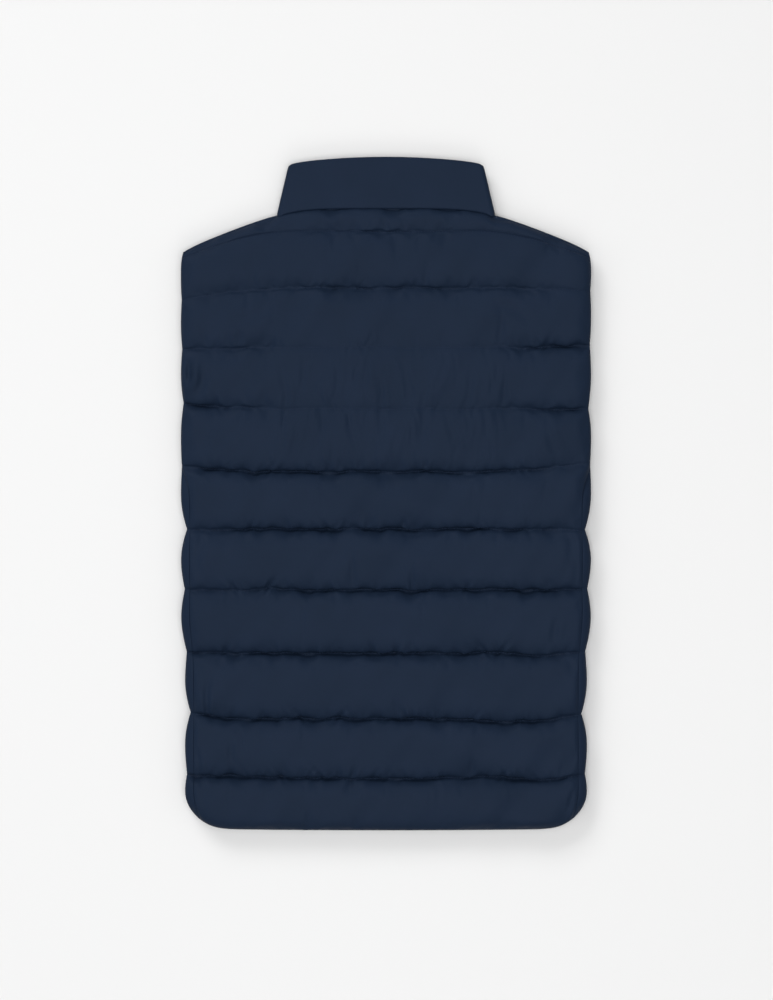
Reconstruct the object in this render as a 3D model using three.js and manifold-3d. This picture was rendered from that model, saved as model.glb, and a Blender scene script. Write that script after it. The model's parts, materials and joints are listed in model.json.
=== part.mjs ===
// A quilted vest with a stand collar, laid flat on its front with its back up, zipped to the top.
// Millimetres. X runs across the vest, Y from the hem to the collar, and Z up from the surface it lies on.
// The origin is on that surface, under the middle of the vest.

import * as THREE from 'three';
import Module from 'manifold-3d';
import { mergeVertices } from 'three/addons/utils/BufferGeometryUtils.js';

const wasm = await Module();
wasm.setup();

// The outline, as it lies
const HEM_Y = -371;
const BACK_NECK_Y = 316;        // neck seam, at the centre of the back
const FRONT_NECK_Y = 238;       // neck seam, at the zip
const SHOULDER_NECK = { x: 120, y: 309 };
const SHOULDER_TIP = { x: 224, y: 265 };
const SHOULDER_SLOPE = { drop: 36, tipDrop: 8, tipPower: 12 };   // straight, then rounded off at the armhole
const TIP_DRAW = { from: 240, over: 25, depth: 2.5 };   // the armhole draws in a little towards the tip
const CHEST_HALF = 226.5;       // half width at the armholes and chest
const HEM_HALF = 222;           // half width near the hem
const TAPER = { from: -130, to: -200 };
// The hem's rounded lower corners: the hem bends up from `from`, and the side bends in below `height`
const CORNER = { x: 214, from: 140, rise: 20, power: 5, height: 42, run: 22 };
// Coming down from the armhole, the back's edge draws in to the side seam, and then the front turns up to it
const UNDERARM = { open: 35, meet: 0, closed: -35 };
const SIDE_WRAP = 10;           // how far the fronts turn up over the side onto the back
const ARMHOLE_SCOOP = 10;       // how much deeper the front armhole is cut than the back one

// The padding
const GAP = 0.3;                // between one piece and the next
const FRONT_INNER_Z = 14.5;     // the fronts' inside face
const BACK_INNER_Z = FRONT_INNER_Z + GAP;
const EDGE_WALL = 3;            // shell and lining stitched together, with next to no wadding
const EDGE_ROUND = 26;          // how far in from an edge the padding is full
const END_ROUND = 18;           // the same at a front's hem and neck, below
const TURNED_EDGE = 0.2;        // how much thicker the cloth turned in makes a front's edge
const SEAM_DIP = 1;             // how far the side seam lies below the padding beside it
const FRONT_GROOVE = 3.5;       // stitched lines in the side that lies on the surface

// The stitched lines, from the hem up. y is the height at the centre, and left and right are how far an end
// rises. notch is how far the line draws the side in. deepLeft, deep and deepRight are how sharply it is
// sunk, from 0 to 1, at the left, in the middle and at the right. crown is the wadding above the line.
const LINES = [
  { y: HEM_Y, left: 0, right: 0, notch: 0, deepLeft: 1, deep: 1, deepRight: 1, crown: 11 },
  { y: -313.5, left: -2, right: -4, notch: 2.5, deepLeft: 1, deep: 0.9, deepRight: 0.7, crown: 12 },
  { y: -247.5, left: 3, right: -3, notch: 6.5, deepLeft: 0.9, deep: 1, deepRight: 0.8, crown: 12.5 },
  { y: -175.5, left: 4, right: 1, notch: 3.5, deepLeft: 0.9, deep: 1, deepRight: 0.8, crown: 13 },
  { y: -105.5, left: -1, right: -2, notch: 4.5, deepLeft: 0.5, deep: 1, deepRight: 0.9, crown: 13 },
  { y: -38.5, left: 1, right: -5, notch: 7, deepLeft: 0.8, deep: 0.9, deepRight: 0.5, crown: 12.5 },
  { y: 24.5, left: 4, right: 8, notch: 1, deepLeft: 1, deep: 0.9, deepRight: 0.6, crown: 11.5 },
  { y: 93.5, left: 6, right: 0, notch: 2, deepLeft: 0.8, deep: 0.25, deepRight: 0.7, crown: 11 },
  { y: 161, left: -2, right: 3, notch: 0, deepLeft: 0.5, deep: 0.2, deepRight: 0.9, crown: 10.5 },
  { y: 227, left: -14, right: -4, notch: 1, deepLeft: 0.5, deep: 0.7, deepRight: 0.3, crown: 9.5 },
  { y: 289, left: 0, right: 0, notch: 0, deepLeft: 0.5, deep: 0.7, deepRight: 0.5, crown: 6 },
];
const LINE_BEND = 90;           // the lines are straight this far each side of the centre
const YOKE_BEND = 105;          // the highest line follows the shoulders from here out
const YOKE_DROP = 31;
const YOKE_POWER = 1.6;
const CHANNEL_ROUND = 2.4;      // how square a channel's section is: 2 is a parabola
const SIDE_ROUND = 1.7;         // the same for the scallops in the side
const SUNK_BEND = { from: 60, over: 130 };   // a line's depth changes to that of its end over this stretch

// How finely the pieces are divided: shares of a channel's height, and distances in from an edge
const BACK_ROWS = [0, 0.06, 0.16, 0.34, 0.5, 0.66, 0.84, 0.94];
const FRONT_ROWS = [0, 0.06, 0.16, 0.5, 0.84, 0.94];
const EDGE_STEPS = [0, 1.5, 4.5, 9, 15, 26];
const BACK_MIDDLE_STEPS = 9;
const BACK_INNER_STEPS = 5;
const FRONT_MIDDLE_STEPS = 8;
const LINING_STEP = 8;          // the lining's outermost point is this far inside the side seam
// The points of a front's lip, from its outline in. share is how far over the back they lie where the front
// turns up to the side seam, and thinIn and thinUp are how far in and up they lie at the armhole's thin edge.
const LIP = [
  { share: 0, thinIn: 0, thinUp: 0.6 },
  { share: 0.15, thinIn: 0.05, thinUp: 1.4 },
  { share: 0.45, thinIn: 0.1, thinUp: 2.2 },
  { share: 1, thinIn: 0.2, thinUp: 2.8 },
];
const LIP_FOOT = 1;             // the lowest of them above the back's inside face
const LIP_LINING = 0.8;         // how far in the lining starts at the armhole

// The collar
const COLLAR = {
  wall: 4.5, seamWall: 3.2, foot: 120.4, top: 108, topY: 371, cornerY: 364.5, frontTopY: 296,
  backZ: 16.7, frontZ: 10.9, zipZ: 8, zipRun: 30,
};
// Up the band: how far up, and how thick it is there, as shares of its height and its wall
const COLLAR_SECTION = [
  { up: 0, wall: COLLAR.seamWall / COLLAR.wall },
  { up: 0.03, wall: 1 },
  { up: 0.3, wall: 1 },
  { up: 0.65, wall: 1 },
  { up: 0.95, wall: 0.9 },
  { up: 1, wall: 0.35 },
];
const COLLAR_STEPS = { back: 8, fold: 6, front: 7 };

// The zip, whose tapes lie over the front edges inside the vest and whose pull hangs under the slider
const ZIP_HALF = 6;             // from the zip's middle to a front edge
const ZIP_RECESS_Z = 10.3;      // the front's inside face beside the tape
const ZIP_RECESS = { from: 22, to: 42 };
const TAPE = { from: 3.2, to: 18, z: 10.6, thick: 0.8, low: -369, high: 294 };
const TEETH = { from: 0.15, to: 2.9, z: 9.7, thick: 2.6, low: -361, high: 292 };
const BOX = { half: 2.9, z: 9.3, thick: 3.4, low: -369, high: -361.3 };
const SLIDER = { half: 4.9, low: 283.6, high: 295.6, plate: 0.9, inner: 3.2, slot: 0.4, post: 1.2 };
const BRIDGE = { width: 3, hole: 1.35, wall: 0.9, y: 289.6, z: 6.6 };
const PULL = {
  length: 25, width: 8, thick: 1.4, slot: 4, bar: 1.4, slotLength: 4.4, tipZ: 0.2, corner: 1, cornerLength: 2,
};

// The outline

const clamp01 = (value) => Math.min(1, Math.max(0, value));
const mix = (from, to, share) => from + (to - from) * share;
const ease = (share) => clamp01(share) ** 2 * (3 - 2 * clamp01(share));
// The places that divide a stretch into equal steps, without its two ends
function between(from, to, steps) {
  return Array.from({ length: steps - 1 }, (_, step) => mix(from, to, (step + 1) / steps));
}
// A quarter of an ellipse: 0 at the edge, 1 from `reach` in
const rounded = (distance, reach) => Math.sqrt(1 - (1 - clamp01(distance / reach)) ** 2);
// A channel's section between its two lines
const puff = (share, roundness) => 1 - Math.abs(2 * share - 1) ** roundness;

function shoulderY(x) {
  const out = clamp01((Math.abs(x) - SHOULDER_NECK.x) / (SHOULDER_TIP.x - SHOULDER_NECK.x));
  const { drop, tipDrop, tipPower } = SHOULDER_SLOPE;
  return SHOULDER_NECK.y - drop * out - tipDrop * out ** tipPower;
}

function neckY(x, centreY) {
  const out = Math.min(1, Math.abs(x) / SHOULDER_NECK.x);
  return mix(centreY, SHOULDER_NECK.y, out ** 2);
}

function topY(x, neckCentreY) {
  return Math.abs(x) < SHOULDER_NECK.x ? neckY(x, neckCentreY) : shoulderY(x);
}

function hemY(x) {
  const out = clamp01((Math.abs(x) - CORNER.from) / (CORNER.x - CORNER.from));
  return HEM_Y + CORNER.rise * out ** CORNER.power;
}

// A stitched line, the hem or the top edge, numbered from the hem up
function lineY(index, x, neckCentreY) {
  if (index === 0) return hemY(x);
  if (index === LINES.length) return topY(x, neckCentreY);
  const line = LINES[index];
  if (index === LINES.length - 1) {
    const out = Math.max(0, Math.abs(x) - YOKE_BEND) / (CHEST_HALF - YOKE_BEND);
    const drop = topY(x, BACK_NECK_Y) - (line.y - YOKE_DROP * out ** YOKE_POWER);
    const below = LINES[index - 1].y;
    const share = drop / (topY(x, BACK_NECK_Y) - below);
    return mix(topY(x, neckCentreY), below, share);
  }
  const out = Math.max(0, Math.abs(x) - LINE_BEND) / (CHEST_HALF - LINE_BEND);
  return line.y + (x < 0 ? line.left : line.right) * out ** 2;
}

function straightHalf(y) {
  const half = mix(CHEST_HALF, HEM_HALF, ease((y - TAPER.from) / (TAPER.to - TAPER.from)));
  const corner = clamp01((HEM_Y + CORNER.height - y) / CORNER.run);
  const tip = clamp01((y - TIP_DRAW.from) / TIP_DRAW.over);
  return half - (HEM_HALF - CORNER.x) * corner ** 2 - TIP_DRAW.depth * tip ** 3;
}

// Half the width where a channel's share is reached: the stitched lines draw the sides in
function outlineHalf(y, channel, share) {
  const below = LINES[channel].notch;
  const above = LINES[channel + 1] ? LINES[channel + 1].notch : 0;
  const notch = share < 0.5 ? below : above;
  return straightHalf(y) - notch * (1 - puff(share, SIDE_ROUND));
}

const backDrawnIn = (y) => ease((UNDERARM.open - y) / (UNDERARM.open - UNDERARM.meet));
const frontTurnedUp = (y) => ease((UNDERARM.meet - y) / (UNDERARM.meet - UNDERARM.closed));
// The side seam runs straight, while the scallops of the channels stand out beyond it
const seamHalf = (y) => straightHalf(y) - SIDE_WRAP;

// The rows of a panel, from the hem to its top edge: each is a channel and a share of its height. Every panel
// has the same rows in the lowest channel, where the side seam curves round the corner.
function panelRows(shares) {
  const rows = LINES.flatMap((line, channel) => {
    return (channel === 0 ? BACK_ROWS : shares).map((share) => ({ channel, share }));
  });
  return [...rows, { channel: LINES.length - 1, share: 1 }];
}

function rowY(row, x, neckCentreY) {
  return mix(lineY(row.channel, x, neckCentreY), lineY(row.channel + 1, x, neckCentreY), row.share);
}

// The outermost point of a row: its height and half width depend on each other, so they are found in turns
function rowSide(row, side, neckCentreY) {
  let half = CHEST_HALF;
  for (let turn = 0; turn < 4; turn += 1) {
    half = outlineHalf(rowY(row, side * half, neckCentreY), row.channel, row.share);
  }
  return { half, y: rowY(row, side * half, neckCentreY) };
}

// How deep a line is sunk at a place along it
function sunk(line, x) {
  const end = x < 0 ? line.deepLeft : line.deepRight;
  return mix(line.deep, end, ease((Math.abs(x) - SUNK_BEND.from) / SUNK_BEND.over));
}

// The upper surface of the whole vest at a place along a row, `inset` being the distance from its outline
function upperZ(row, x, inset) {
  const last = row.channel === LINES.length - 1;
  const above = last ? LINES[0] : LINES[row.channel + 1];
  const line = row.share < 0.5 ? LINES[row.channel] : above;
  const fullness = 1 - sunk(line, x) * (1 - puff(row.share, CHANNEL_ROUND));
  const edge = BACK_INNER_Z + EDGE_WALL;
  return edge + LINES[row.channel].crown * fullness * rounded(inset, EDGE_ROUND);
}

// Solids

// The plane that a ring of points lies closest to, as the 2-D contour that its cap is cut from
function contourOf(ring) {
  const normal = new THREE.Vector3();
  ring.forEach((point, index) => {
    normal.add(new THREE.Vector3().crossVectors(point, ring[(index + 1) % ring.length]));
  });
  normal.normalize();
  const side = new THREE.Vector3().subVectors(ring[1], ring[0]).projectOnPlane(normal).normalize();
  const up = new THREE.Vector3().crossVectors(normal, side);
  return ring.map((point) => new THREE.Vector2(point.dot(side), point.dot(up)));
}

// A closed body through rings of equally many points, capped at both ends, with its faces pointing out
function loft(rings) {
  const size = rings[0].length;
  const positions = rings.flat().flatMap((point) => point.toArray());
  const index = [];
  for (let ring = 0; ring < rings.length - 1; ring += 1) {
    for (let corner = 0; corner < size; corner += 1) {
      const next = (corner + 1) % size;
      const [a, b] = [ring * size + corner, ring * size + next];
      index.push(a, b, b + size, a, b + size, a + size);
    }
  }
  const start = THREE.ShapeUtils.triangulateShape(contourOf(rings[0]), []);
  start.forEach(([a, b, c]) => index.push(a, c, b));
  const end = THREE.ShapeUtils.triangulateShape(contourOf(rings.at(-1)), []);
  const offset = (rings.length - 1) * size;
  end.forEach(([a, b, c]) => index.push(a + offset, b + offset, c + offset));

  const geometry = new THREE.BufferGeometry();
  geometry.setAttribute('position', new THREE.Float32BufferAttribute(positions, 3));
  geometry.setIndex(signedVolume(positions, index) < 0 ? index.reverse() : index);
  geometry.computeVertexNormals();
  return geometry;
}

function signedVolume(positions, index) {
  const corner = (which) => new THREE.Vector3().fromArray(positions, 3 * index[which]);
  let sum = 0;
  for (let first = 0; first < index.length; first += 3) {
    sum += corner(first).dot(corner(first + 1).cross(corner(first + 2))) / 6;
  }
  return sum;
}

const vector = (x, y, z) => new THREE.Vector3(x, y, z);

function solidOf(geometry) {
  const bare = geometry.clone();
  bare.deleteAttribute('normal');
  bare.deleteAttribute('uv');
  const merged = mergeVertices(bare);
  return new wasm.Manifold(new wasm.Mesh({
    numProp: 3,
    vertProperties: merged.attributes.position.array,
    triVerts: new Uint32Array(merged.index.array),
  }));
}

function geometryOf(solid) {
  const mesh = solid.getMesh();
  const geometry = new THREE.BufferGeometry();
  geometry.setAttribute('position', new THREE.BufferAttribute(mesh.vertProperties, 3));
  geometry.setIndex(new THREE.BufferAttribute(mesh.triVerts, 1));
  geometry.computeVertexNormals();
  return geometry;
}

function block(x0, x1, y0, y1, z0, z1) {
  const geometry = new THREE.BoxGeometry(x1 - x0, y1 - y0, z1 - z0);
  return geometry.translate((x0 + x1) / 2, (y0 + y1) / 2, (z0 + z1) / 2);
}

// The back: padded channels above, plain inside, from armhole to armhole and side seam to side seam
function backRing(row) {
  const ends = [-1, 1].map((side) => {
    const { half, y } = rowSide(row, side, BACK_NECK_Y);
    return { half, edge: mix(half, seamHalf(y), backDrawnIn(y)), y };
  });
  const [left, right] = [-ends[0].edge, ends[1].edge];
  const steps = [
    ...EDGE_STEPS.map((step) => left + step),
    ...between(left + EDGE_STEPS.at(-1), right - EDGE_STEPS.at(-1), BACK_MIDDLE_STEPS),
    ...EDGE_STEPS.map((step) => right - step).reverse(),
  ];

  const place = (x, z) => vector(x, rowY(row, x, BACK_NECK_Y), z);
  const upper = steps.map((x) => {
    const end = ends[x < 0 ? 0 : 1];
    const closed = frontTurnedUp(end.y);
    const fromEdge = end.edge - Math.abs(x);
    const dip = SEAM_DIP * closed * (1 - rounded(fromEdge, EDGE_STEPS[2]));
    return place(x, upperZ(row, x, mix(fromEdge, end.half - Math.abs(x), closed)) - dip);
  });
  const inner = [];
  for (let step = 0; step <= BACK_INNER_STEPS; step += 1) {
    inner.push(place(mix(right, left, step / BACK_INNER_STEPS), BACK_INNER_Z));
  }
  return [...upper, ...inner];
}

// A front, on side -1 or 1: flat below where it rests, and turned up at the side over the back's edge
function frontRing(row, side) {
  const { half: outline, y: sideY } = rowSide(row, side, FRONT_NECK_Y);
  const closed = frontTurnedUp(sideY);
  const armholeShare = clamp01((sideY - UNDERARM.open) / (SHOULDER_TIP.y - UNDERARM.open));
  const half = outline - ARMHOLE_SCOOP * Math.sin(Math.PI * armholeShare);
  const recess = (x) => ease((x - ZIP_RECESS.from) / (ZIP_RECESS.to - ZIP_RECESS.from));
  const innerZ = (x) => mix(ZIP_RECESS_Z, FRONT_INNER_Z, recess(x));
  const edgeZ = (x) => innerZ(x) - EDGE_WALL - TURNED_EDGE;
  const flatFrom = puff(FRONT_ROWS[2], CHANNEL_ROUND);
  const groove = FRONT_GROOVE * (1 - clamp01(puff(row.share, CHANNEL_ROUND) / flatFrom));
  const height = (x) => rowY(row, side * x, FRONT_NECK_Y);

  const underZ = (x) => {
    const toEnds = Math.min(height(x) - hemY(x), topY(x, FRONT_NECK_Y) - height(x));
    const sideZ = mix(edgeZ(x), FRONT_INNER_Z, closed);
    const besideZip = mix(edgeZ(x), groove, rounded(x - ZIP_HALF, EDGE_ROUND));
    const besideSide = mix(sideZ, besideZip, rounded(half - x, EDGE_ROUND));
    return mix(Math.max(edgeZ(x), besideSide), besideSide, rounded(toEnds, END_ROUND));
  };
  const under = [
    ...EDGE_STEPS.map((step) => ZIP_HALF + step),
    ...between(ZIP_HALF + EDGE_STEPS.at(-1), half - EDGE_STEPS.at(-1), FRONT_MIDDLE_STEPS),
    ...EDGE_STEPS.slice(1).map((step) => half - step).reverse(),
  ];

  // The side's edge: a thin one at the armhole, and below it the lip that meets the back at the side seam
  const seamX = seamHalf(sideY) + GAP;
  const wrap = half - seamX;
  const lipZ = (inset) => upperZ(row, side * half, inset);
  const thinZ = FRONT_INNER_Z - EDGE_WALL;
  const lip = LIP.map(({ share, thinIn, thinUp }) => {
    const padded = lipZ(wrap * share) - (share === 1 ? SEAM_DIP : 0);
    const turnedUp = share === 0 ? BACK_INNER_Z + LIP_FOOT : padded;
    return { x: half - mix(thinIn, wrap * share, closed), z: mix(thinZ + thinUp, turnedUp, closed) };
  });
  lip.push({ x: half - mix(LIP_LINING, wrap, closed), z: FRONT_INNER_Z });
  const insideX = [half - SIDE_WRAP - LINING_STEP, ZIP_RECESS.to, ZIP_RECESS.from, ZIP_HALF];
  const place = (x, z) => vector(side * x, height(x), z);
  return [
    ...under.map((x) => place(x, underZ(x))),
    ...lip.map((point) => place(point.x, point.z)),
    ...insideX.map((x) => place(x, innerZ(x))),
  ];
}

// The collar: a band that runs from the zip round one side fold, over the back and round to the zip again
function collarRing(lower, upper, outward) {
  const layer = (direction) => COLLAR_SECTION.map(({ up, wall }) => vector().lerpVectors(lower, upper, up)
    .addScaledVector(outward, direction * COLLAR.wall * wall / 2));
  return [...layer(1), ...layer(-1).reverse()];
}

function collarHalf() {
  const fold = (COLLAR.backZ - COLLAR.frontZ) / 2;
  const reach = fold + COLLAR.wall / 2;
  const [foot, top] = [COLLAR.foot - reach, COLLAR.top - reach];
  const lean = Math.atan2(foot - top, COLLAR.cornerY - SHOULDER_NECK.y);
  const rings = [];
  for (let step = 0; step < COLLAR_STEPS.back; step += 1) {
    const share = step / COLLAR_STEPS.back;
    const lower = vector(foot * share, neckY(foot * share, BACK_NECK_Y) + GAP, COLLAR.backZ);
    const upper = vector(top * share, mix(COLLAR.topY, COLLAR.cornerY, share ** 2), COLLAR.backZ);
    rings.push(collarRing(lower, upper, vector(0, 0, 1)));
  }
  const middleZ = (COLLAR.backZ + COLLAR.frontZ) / 2;
  for (let step = 0; step <= COLLAR_STEPS.fold; step += 1) {
    const turn = Math.PI * step / COLLAR_STEPS.fold;
    const outward = vector(Math.sin(turn) * Math.cos(lean), Math.sin(turn) * Math.sin(lean), Math.cos(turn));
    const lower = vector(foot, SHOULDER_NECK.y + 2 * GAP, middleZ).addScaledVector(outward, fold);
    const upper = vector(top, COLLAR.cornerY - 1, middleZ).addScaledVector(outward, fold);
    rings.push(collarRing(lower, upper, outward));
  }
  for (let step = 1; step <= COLLAR_STEPS.front; step += 1) {
    const share = step / COLLAR_STEPS.front;
    const [footX, topX] = [mix(foot, ZIP_HALF, share), mix(top, ZIP_HALF, share)];
    const plane = (x) => mix(COLLAR.zipZ, COLLAR.frontZ, ease((x - ZIP_RECESS.from) / COLLAR.zipRun));
    const lower = vector(footX, neckY(footX, FRONT_NECK_Y) + 2 * GAP, plane(footX));
    const upperY = mix(COLLAR.frontTopY, COLLAR.cornerY - 1, ((topX - ZIP_HALF) / (top - ZIP_HALF)) ** 2);
    rings.push(collarRing(lower, vector(topX, upperY, plane(topX)), vector(0, 0, -1)));
  }
  return rings;
}

function collarGeometry() {
  const right = collarHalf();
  const left = right.slice(1).map((ring) => ring.map((point) => vector(-point.x, point.y, point.z)));
  return loft([...left.reverse(), ...right]);
}

// The zip

function sliderGeometry() {
  const top = TEETH.z + TEETH.thick + GAP + SLIDER.plate;
  const bottom = TEETH.z - GAP - SLIDER.plate;
  const { half, low, high, plate, inner, slot, post } = SLIDER;
  const parts = [
    block(-half, half, low, high, top - plate, top),
    block(-half, half, low, high, bottom, bottom + plate),
    block(-post, post, TEETH.high + GAP, high, bottom, top),
  ];
  for (const side of [-1, 1]) {
    const [x0, x1] = side < 0 ? [-half, -inner] : [inner, half];
    parts.push(block(x0, x1, low, high, TAPE.z + TAPE.thick + slot, top));
    parts.push(block(x0, x1, low, high, bottom, TAPE.z - slot));
  }
  // The bridge that the pull's bar turns in: an arch with a round hole, under the lower plate
  const outer = BRIDGE.hole + BRIDGE.wall;
  const arch = new THREE.Shape();
  arch.moveTo(-outer, bottom + plate / 2);
  arch.lineTo(-outer, BRIDGE.z);
  arch.absarc(0, BRIDGE.z, outer, Math.PI, 2 * Math.PI, false);
  arch.lineTo(outer, bottom + plate / 2);
  arch.closePath();
  arch.holes.push(new THREE.Path().absarc(0, BRIDGE.z, BRIDGE.hole, 0, 2 * Math.PI, true));
  const across = { depth: BRIDGE.width, bevelEnabled: false, curveSegments: 8 };
  const bridge = new THREE.ExtrudeGeometry(arch, across);
  bridge.translate(0, 0, -BRIDGE.width / 2).rotateX(Math.PI / 2).rotateZ(Math.PI / 2);
  bridge.translate(0, BRIDGE.y, 0);
  return geometryOf([...parts, bridge].map(solidOf).reduce((whole, part) => whole.add(part)));
}

// The pull: a plate with a slot at its head, whose end bar lies in the bridge. Its tip rests on the surface.
function pullGeometry() {
  const { length, width, thick, slot, bar, slotLength, tipZ, corner, cornerLength } = PULL;
  const plate = new THREE.Shape();
  const [head, tipRound] = [bar / 2, width / 2 - corner];
  const tipCentre = tipRound - length;
  plate.moveTo(-tipRound, head);
  plate.lineTo(tipRound, head);
  plate.lineTo(width / 2, head - cornerLength);
  plate.lineTo(tipRound, tipCentre);
  plate.absarc(0, tipCentre, tipRound, 0, -Math.PI, true);
  plate.lineTo(-width / 2, head - cornerLength);
  plate.closePath();
  const hole = new THREE.Path();
  hole.moveTo(-slot / 2, -bar / 2);
  hole.lineTo(-slot / 2, -bar / 2 - slotLength);
  hole.lineTo(slot / 2, -bar / 2 - slotLength);
  hole.lineTo(slot / 2, -bar / 2);
  hole.closePath();
  plate.holes.push(hole);
  const geometry = new THREE.ExtrudeGeometry(plate, { depth: thick, bevelEnabled: false, curveSegments: 6 });
  const slope = Math.asin((BRIDGE.z - thick / 2 - tipZ) / length);
  return geometry.translate(0, 0, -thick / 2).rotateX(slope).translate(0, BRIDGE.y, BRIDGE.z);
}

// The vest

const shellCloth = { color: '#212c3e', roughness: 0.75, metalness: 0 };
const tapeCloth = { color: '#1d2635', roughness: 0.9, metalness: 0 };
const mouldedTeeth = { color: '#1b2331', roughness: 0.5, metalness: 0 };
const paintedZinc = { color: '#1e2737', roughness: 0.4, metalness: 0.6 };

const vest = new THREE.Group();

function add(name, geometry, finish) {
  const mesh = new THREE.Mesh(geometry, new THREE.MeshStandardMaterial(finish));
  mesh.name = name;
  vest.add(mesh);
  return mesh;
}

add('back_panel', loft(panelRows(BACK_ROWS).map(backRing)), shellCloth);
add('collar', collarGeometry(), shellCloth);

for (const [name, side] of [['left', -1], ['right', 1]]) {
  const across = (from, to) => (side < 0 ? [-to, -from] : [from, to]);
  add(`front_${name}`, loft(panelRows(FRONT_ROWS).map((row) => frontRing(row, side))), shellCloth);
  const tape = block(...across(TAPE.from, TAPE.to), TAPE.low, TAPE.high, TAPE.z, TAPE.z + TAPE.thick);
  add(`zip_tape_${name}`, tape, tapeCloth);
  const teeth = block(...across(TEETH.from, TEETH.to), TEETH.low, TEETH.high, TEETH.z, TEETH.z + TEETH.thick);
  add(`zip_teeth_${name}`, teeth, mouldedTeeth);
}
add('zip_box', block(-BOX.half, BOX.half, BOX.low, BOX.high, BOX.z, BOX.z + BOX.thick), mouldedTeeth);
add('zip_slider', sliderGeometry(), paintedZinc);
add('zip_pull', pullGeometry(), paintedZinc);

export default vest;
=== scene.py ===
import json
import math

import bpy
import numpy as np
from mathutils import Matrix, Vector
from mathutils.bvhtree import BVHTree

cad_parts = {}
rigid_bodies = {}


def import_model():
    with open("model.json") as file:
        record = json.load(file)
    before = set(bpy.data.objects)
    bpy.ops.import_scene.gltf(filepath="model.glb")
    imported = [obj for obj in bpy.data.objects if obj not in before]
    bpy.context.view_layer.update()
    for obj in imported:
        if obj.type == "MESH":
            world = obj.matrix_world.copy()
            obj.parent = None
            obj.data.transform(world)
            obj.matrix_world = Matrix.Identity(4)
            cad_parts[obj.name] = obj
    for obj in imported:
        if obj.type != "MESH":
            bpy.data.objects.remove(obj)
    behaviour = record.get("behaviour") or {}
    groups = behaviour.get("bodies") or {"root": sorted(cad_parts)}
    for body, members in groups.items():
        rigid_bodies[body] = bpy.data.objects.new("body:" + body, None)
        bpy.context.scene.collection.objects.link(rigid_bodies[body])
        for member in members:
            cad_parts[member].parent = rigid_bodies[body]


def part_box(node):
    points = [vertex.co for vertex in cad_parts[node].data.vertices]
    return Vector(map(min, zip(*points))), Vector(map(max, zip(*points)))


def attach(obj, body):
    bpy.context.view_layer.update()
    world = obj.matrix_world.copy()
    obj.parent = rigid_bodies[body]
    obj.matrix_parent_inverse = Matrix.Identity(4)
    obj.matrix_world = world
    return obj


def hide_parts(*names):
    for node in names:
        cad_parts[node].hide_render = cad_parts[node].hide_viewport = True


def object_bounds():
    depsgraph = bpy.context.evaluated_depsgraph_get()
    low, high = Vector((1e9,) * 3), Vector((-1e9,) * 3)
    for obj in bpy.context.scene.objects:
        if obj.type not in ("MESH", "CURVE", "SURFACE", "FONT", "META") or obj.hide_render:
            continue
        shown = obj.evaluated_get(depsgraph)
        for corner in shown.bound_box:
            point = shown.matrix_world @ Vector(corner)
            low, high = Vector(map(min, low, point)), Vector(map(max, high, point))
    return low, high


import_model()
cad_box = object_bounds()
bpy.ops.object.select_all(action="DESELECT")

# The back. On the real vest it is a polyamide shell, a sheet of polyester wadding and a lining, sewn through
# along ten lines, so that the wadding stands up between them as flat-topped padded channels. Each channel
# hangs a little over the stitched line below it, and the side seams join it to the fronts.

# Shapes are worked out in millimetres, across, up the back and out of it, and placed in metres
MM = 0.001
back_low, back_high = (np.array(corner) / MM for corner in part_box("back_panel"))
HEM_Y, NECK_Y = back_low[1], back_high[1]
CHEST_HALF = back_high[0]
LINING_Z = back_low[2]
HEM_HALF = CHEST_HALF - 4.5
TAPER_FROM, TAPER_TO = -130.0, -200.0
CORNER_X, CORNER_FROM, CORNER_RISE, CORNER_BEND = 214.0, 140.0, 20.0, 5
CORNER_UP, CORNER_OVER = 42, 22     # where the hem's corner starts to round, and over how much
SHOULDER_NECK_X, SHOULDER_NECK_Y = 120.0, 306.5
BACK_NECK_BEND, FRONT_NECK_BEND = 5, 2     # how late the neck seam bends down to the shoulder
SHOULDER_FALL, SHOULDER_TIP_FALL = 38.5, 2.5
SHOULDER_BEND, SHOULDER_TIP_BEND = 1.15, 12
SHOULDER_TIP_X = 224.0
TIP_DRAW, TIP_DRAW_FROM, TIP_DRAW_OVER = 2.5, 240, 25     # the armhole draws in a little towards its tip
UNDERARM_OPEN, UNDERARM_DRAWN, UNDERARM_CLOSED = 35.0, 0.0, -8.0
HEM_SAG, HEM_SAG_HALF = 1.4, 200.0     # the hem bows down a little in the middle
SIDE_WRAP = 10.0
EDGE_WALL = 3.0        # shell and lining sewn together, with next to no wadding
EDGE_ROUND = 17.0      # how far in from an edge the wadding is full
LEDGE, LEDGE_MORE = 2.5, 2.2     # the strip under each line where its stitches lie, and how much it widens
LEDGE_SPAN, LEDGE_MOST = 46, 1.4
FIRM_ROUND = 10.0      # how quickly a channel rises from the ledge at its top
SOFT_ROUND = 13.0      # how slowly it falls to the line at its bottom
OVERHANG = 4.9         # how far it hangs over that line
OVERHANG_UNEVEN, OVERHANG_SPAN = 0.22, 24
HANG_AT, HANG_REACH = 4.2, 3.2     # how far up its side that is, and over how much of the side
LINE_PINCH = 2.6       # how far the stitches draw the shell down below its level at the edges
CHANNEL_EDGE, CHANNEL_ARCH = 0.84, 0.16     # the share of its height beside the lines, and what midway adds
SEAM_DIP, SEAM_ROUND = 0.8, 7.0
SIDE_SCALLOP = 1.7

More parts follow.
